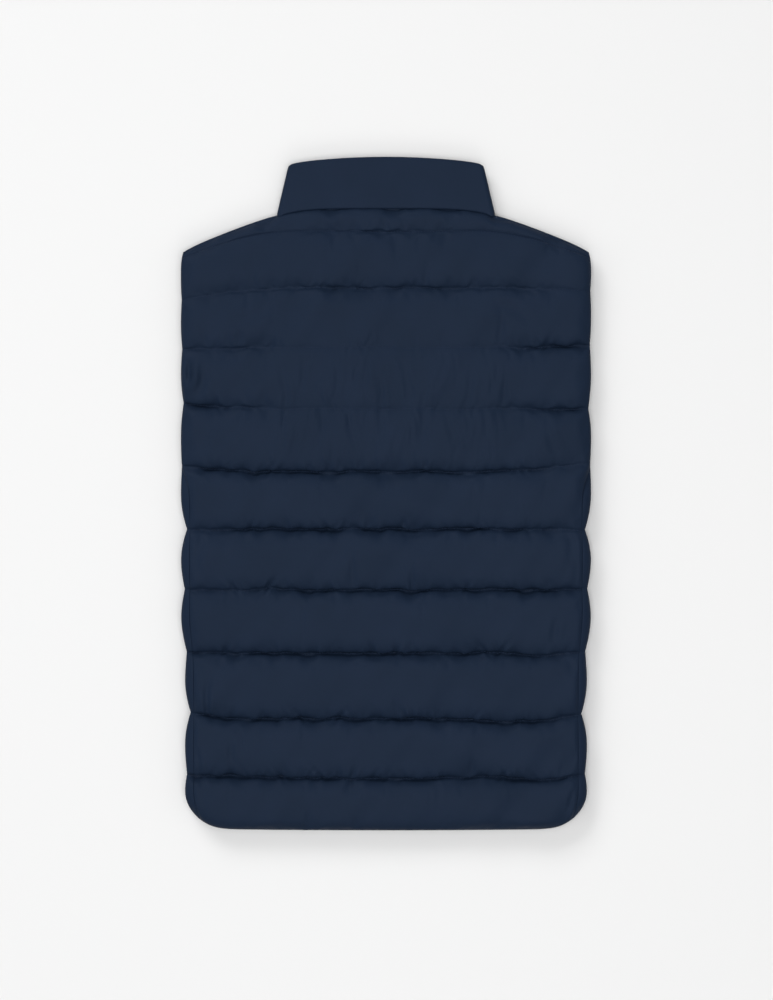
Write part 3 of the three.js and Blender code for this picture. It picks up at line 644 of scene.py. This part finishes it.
def front_row(row, side):
    """The points round one row of a front: its underside from the zip out, its lip, and its lining back."""
    outline, side_y = row.half[side], row.side_y[side]
    closed = turned_up(side_y)
    armhole = np.clip((side_y - UNDERARM_OPEN) / (top_y(SHOULDER_TIP_X, 0) - UNDERARM_OPEN), 0, 1)
    half = outline - ARMHOLE_SCOOP * np.sin(np.pi * armhole)
    steps = np.array(EDGE_COLUMNS)
    middle = np.linspace(ZIP_EDGE_X + steps[-1], half - steps[-1], FRONT_MIDDLE_COLUMNS + 2)[1:-1]
    under_x = np.concatenate([ZIP_EDGE_X + steps, middle, (half - steps)[::-1]])
    under = np.column_stack([under_x, row.y_at(side * under_x), under_z(row, side, under_x, half, closed)])

    wrap = half - seam_x(outline, side_y) + SEAM_LAP * closed if side_y < UNDERARM_OPEN else ARMHOLE_LIP
    inset = np.array(LIP_INSETS) / SIDE_WRAP * wrap
    lip_x = half - inset
    wadding, hang = padding(row, side * half, inset)
    to_seam = wrap - inset
    turned_up_z = LINING_Z + EDGE_WALL + wadding - SEAM_DIP * (1 - rounded(to_seam, SEAM_ROUND))
    thin_z = FRONT_LINING_Z - EDGE_WALL + LIP_SLOPE * np.array(LIP_INSETS)
    lip_y = row.y_at(side * lip_x) - hang * closed
    lip = np.column_stack([lip_x, lip_y, mix(thin_z, turned_up_z, closed)])

    lining_x = np.array([lip_x[-1] - 0.1, half - SIDE_WRAP - LINING_START, *LINING_X, ZIP_EDGE_X])
    lining = np.column_stack([lining_x, row.y_at(side * lining_x), lining_z(lining_x)])
    ring = np.vstack([under, lip, lining, under[:1]])
    ring[:, 0] *= side
    return ring


def close_ends(piece):
    """Fills both open ends of a piece that was laid out as a tube."""
    bpy.ops.object.mode_set(mode="EDIT")
    bpy.ops.mesh.select_all(action="DESELECT")
    bpy.ops.mesh.select_mode(type="EDGE")
    bpy.ops.mesh.select_non_manifold()
    bpy.ops.mesh.fill_holes(sides=0)
    bpy.ops.mesh.select_all(action="SELECT")
    bpy.ops.mesh.normals_make_consistent(inside=False)
    bpy.ops.object.mode_set(mode="OBJECT")


def join_long_edges(piece):
    """Joins the two long edges of a sheet that was laid out as a tube."""
    bpy.ops.object.mode_set(mode="EDIT")
    bpy.ops.mesh.select_all(action="SELECT")
    bpy.ops.mesh.remove_doubles(threshold=0.001 * MM)
    bpy.ops.mesh.normals_make_consistent(inside=False)
    bpy.ops.object.mode_set(mode="OBJECT")


FRONT_FREE_REACH = 14.0     # how far in from an edge a front is free to crease
PRESSED_BELOW, RESTS_BELOW = 9.0, 0.4     # the heights of its pressed side, and of what rests on the surface
FRONT_RISE, FRONT_SWELL = 0.8, 0.5     # what pressing leaves of its puckers, and of its unevenness

front_rows = rows_of(FRONT_NECK_Y)
for side, name in ((-1, "front_left"), (1, "front_right")):
    bpy.ops.object.select_all(action="DESELECT")
    front_points = np.array([front_row(row, side) for row in front_rows])
    front, _, _ = sheet_of_rows(name + "_quilted", front_points)
    join_long_edges(front)
    refine(front)
    front_shape = coordinates(front) / MM
    x, y, z = front_shape.T
    rise = puckered(x, y, FRONT_NECK_Y, pucker_table(seed=11 + side))
    rise = rise + creased(-x, y, crease_table(seed=8 + side))
    swell = swollen(x, y, 340 + side)
    from_edges = np.minimum(np.abs(x) - ZIP_EDGE_X, straight_half(y) - np.abs(x))
    from_ends = np.minimum(y - hem_y(x), top_y(x, FRONT_NECK_Y) - y)
    free = ease(np.minimum(from_edges, from_ends) / FRONT_FREE_REACH) * (z < PRESSED_BELOW)
    z += free * (np.maximum(-FRONT_RISE * rise, 0) + FRONT_SWELL * np.maximum(swell, 0) * (z > RESTS_BELOW))
    front_shape[:, 2] = np.maximum(z, 0)
    front.data.vertices.foreach_set("co", (front_shape * MM).ravel())
    close_ends(front)
    front.data.materials.append(shell_cloth)
    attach(front, "vest")
    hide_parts(name)

# The stand collar: one band of shell and lining round a thin layer of wadding, sewn to the neck along its
# foot. It runs from the zip round both side folds and over the back, and lies pressed flat.
COLLAR_WALL = 4.5
FOOT_TUCK = 2.4        # how far the collar's foot is sewn in behind the edge of the neck
COLLAR_FOOT_X, COLLAR_TOP_X = 121.2, 108.0
COLLAR_TOP_Y, COLLAR_CORNER_Y, COLLAR_FRONT_TOP_Y = 371.0, 364.5, 296.0
COLLAR_BACK_Z, COLLAR_FRONT_Z, COLLAR_ZIP_Z = 17.2, 10.9, 8.0
COLLAR_CORNER_DROP, COLLAR_CORNER_BEND, COLLAR_FOLD_DROP = 1, 12, 2.4     # its top edge dips at the folds
COLLAR_RECESS_OVER = 30
COLLAR_FOLD = (COLLAR_BACK_Z - COLLAR_FRONT_Z) / 2
COLLAR_STEPS = {"back": 36, "fold": 10, "front": 30}
# Up the band: how far up, in shares, and how thick it is there, as a share of its wall
COLLAR_SECTION = (
    (0, 0.3), (0.012, 0.8), (0.035, 0.98), (0.08, 1.04), (0.16, 1.04), (0.35, 1.04), (0.6, 1.02), (0.8, 1),
    (0.93, 0.97), (0.965, 0.86), (0.987, 0.62), (1, 0.26),
)


def collar_ring(lower, upper, outward):
    """The section of the band at one place, up its outer side and down its inner one."""
    lower, upper, outward = (np.array(point, dtype=float) for point in (lower, upper, outward))
    outer = [mix(lower, upper, up) + outward * COLLAR_WALL * wall / 2 for up, wall in COLLAR_SECTION]
    inner = [mix(lower, upper, up) - outward * COLLAR_WALL * wall / 2 for up, wall in COLLAR_SECTION]
    return [*outer, *inner[::-1], outer[0]]


def neck_y(x, centre_y):
    return float(top_y(min(abs(x), SHOULDER_NECK_X), centre_y))


def half_collar():
    """The sections from the middle of the back round to the zip, on the right."""
    reach = COLLAR_FOLD + COLLAR_WALL / 2
    foot, top = COLLAR_FOOT_X - reach, COLLAR_TOP_X - reach
    lean = math.atan2(foot - top, COLLAR_CORNER_Y - SHOULDER_NECK_Y)
    rings = []
    for step in range(COLLAR_STEPS["back"]):
        share = step / COLLAR_STEPS["back"]
        lower = foot * share, neck_y(foot * share, NECK_Y) - FOOT_TUCK, COLLAR_BACK_Z
        upper_y = mix(COLLAR_TOP_Y, COLLAR_CORNER_Y, share ** 2)
        upper_y -= COLLAR_CORNER_DROP * share ** COLLAR_CORNER_BEND
        rings.append(collar_ring(lower, (top * share, upper_y, COLLAR_BACK_Z), (0, 0, 1)))
    middle_z = (COLLAR_BACK_Z + COLLAR_FRONT_Z) / 2
    for step in range(COLLAR_STEPS["fold"] + 1):
        turn = math.pi * step / COLLAR_STEPS["fold"]
        outward = math.sin(turn) * math.cos(lean), math.sin(turn) * math.sin(lean), math.cos(turn)
        fold = COLLAR_FOLD * np.array(outward)
        upper_y = COLLAR_CORNER_Y - COLLAR_CORNER_DROP - COLLAR_FOLD_DROP * math.sin(turn)
        lower = np.array([foot, SHOULDER_NECK_Y - FOOT_TUCK, middle_z]) + fold
        upper = np.array([top, upper_y, middle_z]) + fold
        rings.append(collar_ring(lower, upper, outward))
    for step in range(1, COLLAR_STEPS["front"] + 1):
        share = step / COLLAR_STEPS["front"]
        foot_x, top_x = mix(foot, ZIP_EDGE_X, share), mix(top, ZIP_EDGE_X, share)
        foot_z = mix(COLLAR_ZIP_Z, COLLAR_FRONT_Z, ease((foot_x - RECESS_FROM) / COLLAR_RECESS_OVER))
        top_z = mix(COLLAR_ZIP_Z, COLLAR_FRONT_Z, ease((top_x - RECESS_FROM) / COLLAR_RECESS_OVER))
        inward = (top_x - ZIP_EDGE_X) / (top - ZIP_EDGE_X)
        upper_y = mix(COLLAR_FRONT_TOP_Y, COLLAR_CORNER_Y - COLLAR_CORNER_DROP, inward ** 2)
        lower = foot_x, neck_y(foot_x, FRONT_NECK_Y) - FOOT_TUCK / 2, foot_z
        rings.append(collar_ring(lower, (top_x, upper_y, top_z), (0, 0, -1)))
    return np.array(rings)


bpy.ops.object.select_all(action="DESELECT")
right_half = half_collar()
left_half = right_half[1:][::-1] * (-1, 1, 1)
collar, _, _ = sheet_of_rows("collar_band", np.concatenate([left_half, right_half]))
join_long_edges(collar)
refine(collar)
close_ends(collar)
collar.data.materials.append(shell_cloth)
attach(collar, "vest")
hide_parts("collar")

# The zip: a woven tape on each side with a corded edge, teeth moulded onto the cord 3 mm apart, and a moulded
# box at the foot. The tapes are sewn behind the front edges, and the zip is closed up to the collar.
TAPE_CORD_X, TAPE_CORD_RADIUS = 3.6, 0.75
TOOTH_PITCH = 3.0
TOOTH_PARTS = (
    # from x, to x, half length, half height: the grip round the cord, the neck and the head
    (1.7, 4.3, 0.78, 1.3),
    (0.4, 2.0, 0.46, 0.9),
    (-0.85, 0.55, 0.66, 1.15),
)
TOOTH_BEVEL, TAPE_BEVEL, BOX_BEVEL = 0.14, 0.15, 0.35
TEETH_END = 1.0        # from a row's end to its nearest tooth, at least
RIB_IN, RIB_ENDS, RIB_PROUD, RIB_SUNK = 0.9, 1.2, 0.25, 0.5


def bevelled(piece, width, segments=2):
    """Rounds every sharp edge."""
    bevel = piece.modifiers.new("bevel", "BEVEL")
    bevel.width = width * MM
    bevel.segments = segments
    bevel.limit_method = "ANGLE"
    bpy.context.view_layer.objects.active = piece
    bpy.ops.object.modifier_apply(modifier=bevel.name)


def bar(name, low, high):
    """A box between two corners in millimetres, with its sizes in its mesh."""
    low, high = np.array(low, dtype=float), np.array(high, dtype=float)
    bpy.ops.object.select_all(action="DESELECT")
    bpy.ops.mesh.primitive_cube_add(size=1, location=(low + high) / 2 * MM, scale=(high - low) * MM)
    bpy.ops.object.transform_apply(location=True, rotation=True, scale=True)
    made = bpy.context.object
    made.name = made.data.name = name
    return made


def joined(name, parts):
    bpy.ops.object.select_all(action="DESELECT")
    for part in parts:
        part.select_set(True)
    bpy.context.view_layer.objects.active = parts[0]
    bpy.ops.object.join()
    parts[0].name = parts[0].data.name = name
    return parts[0]


tape_cloth = new_material("woven_polyester_tape")
tape_place = node(tape_cloth, "ShaderNodeTexCoord")
ribs = node(tape_cloth, "ShaderNodeTexWave", {"Vector": (tape_place, "Object")}, scale=260.0, distortion=0.6)
ribs.bands_direction = "DIAGONAL"
tape_bump = node(tape_cloth, "ShaderNodeBump", {"Height": (ribs, "Fac")}, strength=0.35, distance=0.15 * MM)
tape_shader = node(
    tape_cloth, "ShaderNodeBsdfPrincipled", {"Normal": (tape_bump, "Normal")},
    base_color=linear("#141d2c"), roughness=0.85, specular_ior_level=0.1,
)
node(tape_cloth, "ShaderNodeOutputMaterial", {"Surface": (tape_shader, "BSDF")})

moulded_plastic = new_material("moulded_acetal")
plastic_shader = node(
    moulded_plastic, "ShaderNodeBsdfPrincipled", base_color=linear("#131b28"), roughness=0.38,
    specular_ior_level=0.35,
)
node(moulded_plastic, "ShaderNodeOutputMaterial", {"Surface": (plastic_shader, "BSDF")})

for side, name in ((-1, "left"), (1, "right")):
    low, high = (np.array(corner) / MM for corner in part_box("zip_tape_" + name))
    flat = bar("tape", low, high)
    bevelled(flat, TAPE_BEVEL)
    middle = (low + high) / 2
    bpy.ops.object.select_all(action="DESELECT")
    bpy.ops.mesh.primitive_cylinder_add(
        vertices=12, radius=TAPE_CORD_RADIUS * MM, depth=(high[1] - low[1]) * MM,
        location=np.array((side * TAPE_CORD_X, middle[1], middle[2])) * MM, rotation=(math.pi / 2, 0, 0),
    )
    cord_edge = bpy.context.object
    bpy.ops.object.transform_apply(location=True, rotation=True, scale=True)
    tape = joined("zip_tape_" + name + "_woven", [flat, cord_edge])
    bpy.ops.object.shade_smooth_by_angle(angle=math.radians(40))
    tape.data.materials.clear()
    tape.data.materials.append(tape_cloth)
    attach(tape, "vest")
    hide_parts("zip_tape_" + name)

    low, high = (np.array(corner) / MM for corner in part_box("zip_teeth_" + name))
    first_y = low[1] + TEETH_END + (side > 0) * TOOTH_PITCH / 2
    height = (low[2] + high[2]) / 2
    parts = []
    for start, end, half_length, half_height in TOOTH_PARTS:
        across = sorted((side * start, side * end))
        part = bar("tooth", (across[0], first_y - half_length, height - half_height),
                   (across[1], first_y + half_length, height + half_height))
        bevelled(part, TOOTH_BEVEL, 1)
        parts.append(part)
    teeth = joined("zip_teeth_" + name + "_moulded", parts)
    repeat = teeth.modifiers.new("row", "ARRAY")
    repeat.count = int((high[1] - TEETH_END - first_y) / TOOTH_PITCH) + 1
    repeat.use_relative_offset = False
    repeat.use_constant_offset = True
    repeat.constant_offset_displace = (0, TOOTH_PITCH * MM, 0)
    bpy.ops.object.modifier_apply(modifier=repeat.name)
    teeth.data.materials.append(moulded_plastic)
    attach(teeth, "vest")
    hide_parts("zip_teeth_" + name)

low, high = (np.array(corner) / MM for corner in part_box("zip_box"))
shell = bar("box_shell", low, high)
rib_low = low[0] + RIB_IN, low[1] + RIB_ENDS, low[2] - RIB_PROUD
rib_high = high[0] - RIB_IN, high[1] - RIB_ENDS, low[2] + RIB_SUNK
rib = bar("box_rib", rib_low, rib_high)
foot_box = joined("zip_box_moulded", [shell, rib])
bevelled(foot_box, BOX_BEVEL)
bpy.ops.object.shade_smooth_by_angle(angle=math.radians(35))
foot_box.data.materials.append(moulded_plastic)
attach(foot_box, "vest")
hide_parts("zip_box")

# The slider and its pull: cast in zinc with rounded edges, and painted navy in a satin finish. The pull's bar
# turns in the slider's bridge, and its tip rests on the surface.
CAST_EDGE = 0.22

painted_zinc = new_material("painted_zinc_casting")
paint_place = node(painted_zinc, "ShaderNodeTexCoord")
orange_peel = node(
    painted_zinc, "ShaderNodeTexNoise", {"Vector": (paint_place, "Object")}, scale=900.0, detail=1.0
)
paint_bump = node(
    painted_zinc, "ShaderNodeBump", {"Height": (orange_peel, "Fac")}, strength=0.08, distance=0.05 * MM
)
paint_shader = node(
    painted_zinc, "ShaderNodeBsdfPrincipled", {"Normal": (paint_bump, "Normal")},
    base_color=linear("#172131"), roughness=0.32, specular_ior_level=0.5, coat_weight=0.2,
)
node(painted_zinc, "ShaderNodeOutputMaterial", {"Surface": (paint_shader, "BSDF")})

for name, body in (("zip_slider", "vest"), ("zip_pull", "pull")):
    bpy.ops.object.select_all(action="DESELECT")
    machined = bpy.data.objects[name]
    machined.select_set(True)
    bpy.context.view_layer.objects.active = machined
    bpy.ops.object.duplicate()
    casting = bpy.context.object
    casting.name = casting.data.name = name + "_cast"
    bpy.ops.object.parent_clear(type="CLEAR_KEEP_TRANSFORM")
    bpy.ops.object.transform_apply(location=True, rotation=True, scale=True)
    bpy.ops.object.mode_set(mode="EDIT")
    bpy.ops.mesh.select_all(action="SELECT")
    bpy.ops.mesh.remove_doubles(threshold=0.001 * MM)
    bpy.ops.mesh.dissolve_limited(angle_limit=math.radians(1))
    bpy.ops.mesh.normals_make_consistent(inside=False)
    bpy.ops.object.mode_set(mode="OBJECT")
    bevelled(casting, CAST_EDGE)
    bpy.ops.object.shade_smooth_by_angle(angle=math.radians(35))
    casting.data.materials.clear()
    casting.data.materials.append(painted_zinc)
    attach(casting, body)
    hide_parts(name)

# The stitches: polyester thread a shade lighter than the cloth, eight stitches to 26 mm, along every line of
# the back and the fronts, and one row beside the zip that holds its tape.
STITCH_PITCH, STITCH_LENGTH, STITCH_RADIUS = 3.3, 2.5, 0.27
STITCH_BELOW_LINE = 0.8
STITCH_DOWN_LEDGE = 0.45
STITCH_PROUD = 0.12    # how far a stitch's middle stands off the cloth
TAPE_ROW_X, TAPE_ROW_UP, TAPE_ROW_DOWN = 10.0, 4, 3
BACK_ROW_FROM, BACK_ROW_TO = -211.5, 212
FRONT_ROW_IN = 6       # from the zip's edge to a front's first stitch
SLOPE_STEP = 0.5       # over how much of a line its slope is taken
RAY_FROM = 0.1         # metres off the surface, clear of the whole vest

thread = new_material("polyester_thread")
thread_shader = node(
    thread, "ShaderNodeBsdfPrincipled", base_color=linear("#1c2940"), roughness=0.6, specular_ior_level=0.15
)
node(thread, "ShaderNodeOutputMaterial", {"Surface": (thread_shader, "BSDF")})

bpy.ops.object.select_all(action="DESELECT")
bpy.ops.mesh.primitive_uv_sphere_add(segments=6, ring_count=4, radius=0.5)
one_stitch = bpy.context.object
stitch_shape = coordinates(one_stitch) * (STITCH_LENGTH, 2 * STITCH_RADIUS, 2 * STITCH_RADIUS)
stitch_faces = [tuple(face.vertices) for face in one_stitch.data.polygons]
bpy.ops.object.delete()


def stitched_rows(name, cloth, places, down):
    """Lays a stitch on the cloth at each place, turned as its line runs, from above or below."""
    tree = BVHTree.FromObject(cloth, bpy.context.evaluated_depsgraph_get())
    heading = Vector((0, 0, -1 if down else 1))
    points, faces = [], []
    for x, y, turn in places:
        start = Vector((x * MM, y * MM, 0)) + heading * RAY_FROM
        spot, *_ = tree.ray_cast(start, -heading)
        if spot is None:
            continue
        z = spot.z / MM + heading.z * STITCH_PROUD
        along, across = (math.cos(turn), math.sin(turn)), (-math.sin(turn), math.cos(turn))
        first = len(points) * len(stitch_shape)
        laid = np.column_stack([
            x + stitch_shape[:, 0] * along[0] + stitch_shape[:, 1] * across[0],
            y + stitch_shape[:, 0] * along[1] + stitch_shape[:, 1] * across[1],
            z + stitch_shape[:, 2],
        ])
        points.append(laid)
        faces.extend(tuple(first + corner for corner in face) for face in stitch_faces)
    mesh = bpy.data.meshes.new(name)
    mesh.from_pydata((np.concatenate(points) * MM).tolist(), [], faces)
    rows = bpy.data.objects.new(name, mesh)
    bpy.context.collection.objects.link(rows)
    mesh.materials.append(thread)
    for face in mesh.polygons:
        face.use_smooth = True
    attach(rows, "vest")
    return rows


def along_lines(neck_y, from_x, to_x):
    for line in range(1, CHANNELS):
        for x in np.arange(from_x, to_x, STITCH_PITCH):
            y, beyond = (float(line_y(line, np.float64(at), neck_y)) for at in (x, x + SLOPE_STEP))
            below = max(STITCH_BELOW_LINE, STITCH_DOWN_LEDGE * float(ledge(line, np.float64(x))))
            yield x, y - below, math.atan2(beyond - y, SLOPE_STEP)


stitched_rows("back_stitches", back, list(along_lines(NECK_Y, BACK_ROW_FROM, BACK_ROW_TO)), down=False)
for side, name in ((-1, "left"), (1, "right")):
    ends = sorted((side * (ZIP_EDGE_X + FRONT_ROW_IN), side * BACK_ROW_TO))
    tape_row = np.arange(HEM_Y + TAPE_ROW_UP, FRONT_NECK_Y - TAPE_ROW_DOWN, STITCH_PITCH)
    beside_zip = [(side * TAPE_ROW_X, y, math.pi / 2) for y in tape_row]
    cloth = bpy.data.objects["front_" + name + "_quilted"]
    places = [*along_lines(FRONT_NECK_Y, *ends), *beside_zip]
    stitched_rows("front_" + name + "_stitches", cloth, places, down=True)

# The surface that it lies on, a pale plain floor. One soft light hangs overhead and a larger one beyond the
# collar on the left, with weak ones at both sides and the hem, and the camera looks straight down.
FLOOR_SIZE = 12.0
FLOOR_CLEAR = 0.2 * MM     # so that the flat underside and the floor aren't one face
CAMERA_HEIGHT = 3.0
PIXEL = 1.104 * MM
FRAME_HEIGHT = 1000
FRAME_CENTRE = (0.5 * PIXEL, -7.0 * PIXEL)

bpy.ops.object.select_all(action="DESELECT")
bpy.ops.mesh.primitive_grid_add(
    x_subdivisions=4, y_subdivisions=4, size=FLOOR_SIZE, location=(0, 0, -FLOOR_CLEAR)
)
floor = bpy.context.object
floor.name = "floor"
floor_paint = new_material("pale_floor")
floor_shader = node(
    floor_paint, "ShaderNodeBsdfPrincipled", base_color=(0.765, 0.765, 0.765, 1), roughness=0.9,
    specular_ior_level=0.0,
)
node(floor_paint, "ShaderNodeOutputMaterial", {"Surface": (floor_shader, "BSDF")})
floor.data.materials.append(floor_paint)


def soft_light(name, place, width, height, watts):
    """A large area light that faces the middle of the vest."""
    bpy.ops.object.light_add(type="AREA", location=place)
    light = bpy.context.object
    light.name = name
    light.data.shape = "RECTANGLE"
    light.data.size, light.data.size_y = width, height
    light.data.energy = watts
    light.rotation_mode = "QUATERNION"
    light.rotation_quaternion = light.location.to_track_quat("Z", "Y")


soft_light("overhead_light", (0.1, -0.25, 4.2), 2.4, 2.4, 102)
soft_light("key_light", (-2.5, 4.2, 3.4), 3.4, 2.2, 168)
soft_light("left_light", (-2.8, -0.6, 2.4), 1.6, 2.6, 16)
soft_light("right_light", (2.8, -0.6, 2.4), 1.6, 2.6, 8)
soft_light("hem_light", (0.4, -3.0, 2.6), 2.6, 1.6, 22)
world = bpy.data.worlds.new("studio")
bpy.context.scene.world = world
world.use_nodes = True
world.node_tree.nodes["Background"].inputs["Color"].default_value = (1, 1, 1, 1)
world.node_tree.nodes["Background"].inputs["Strength"].default_value = 0.25

bpy.ops.object.camera_add(location=(*FRAME_CENTRE, CAMERA_HEIGHT), rotation=(0, 0, 0))
camera = bpy.context.object
camera.name = "camera"
camera.data.sensor_width = 36
outline_height = (cad_box[0].z + cad_box[1].z) / 2
camera.data.lens = camera.data.sensor_width * (CAMERA_HEIGHT - outline_height) / (FRAME_HEIGHT * PIXEL)
camera.data.clip_end = 20
bpy.context.scene.camera = camera
bpy.context.scene.view_settings.view_transform = "Standard"
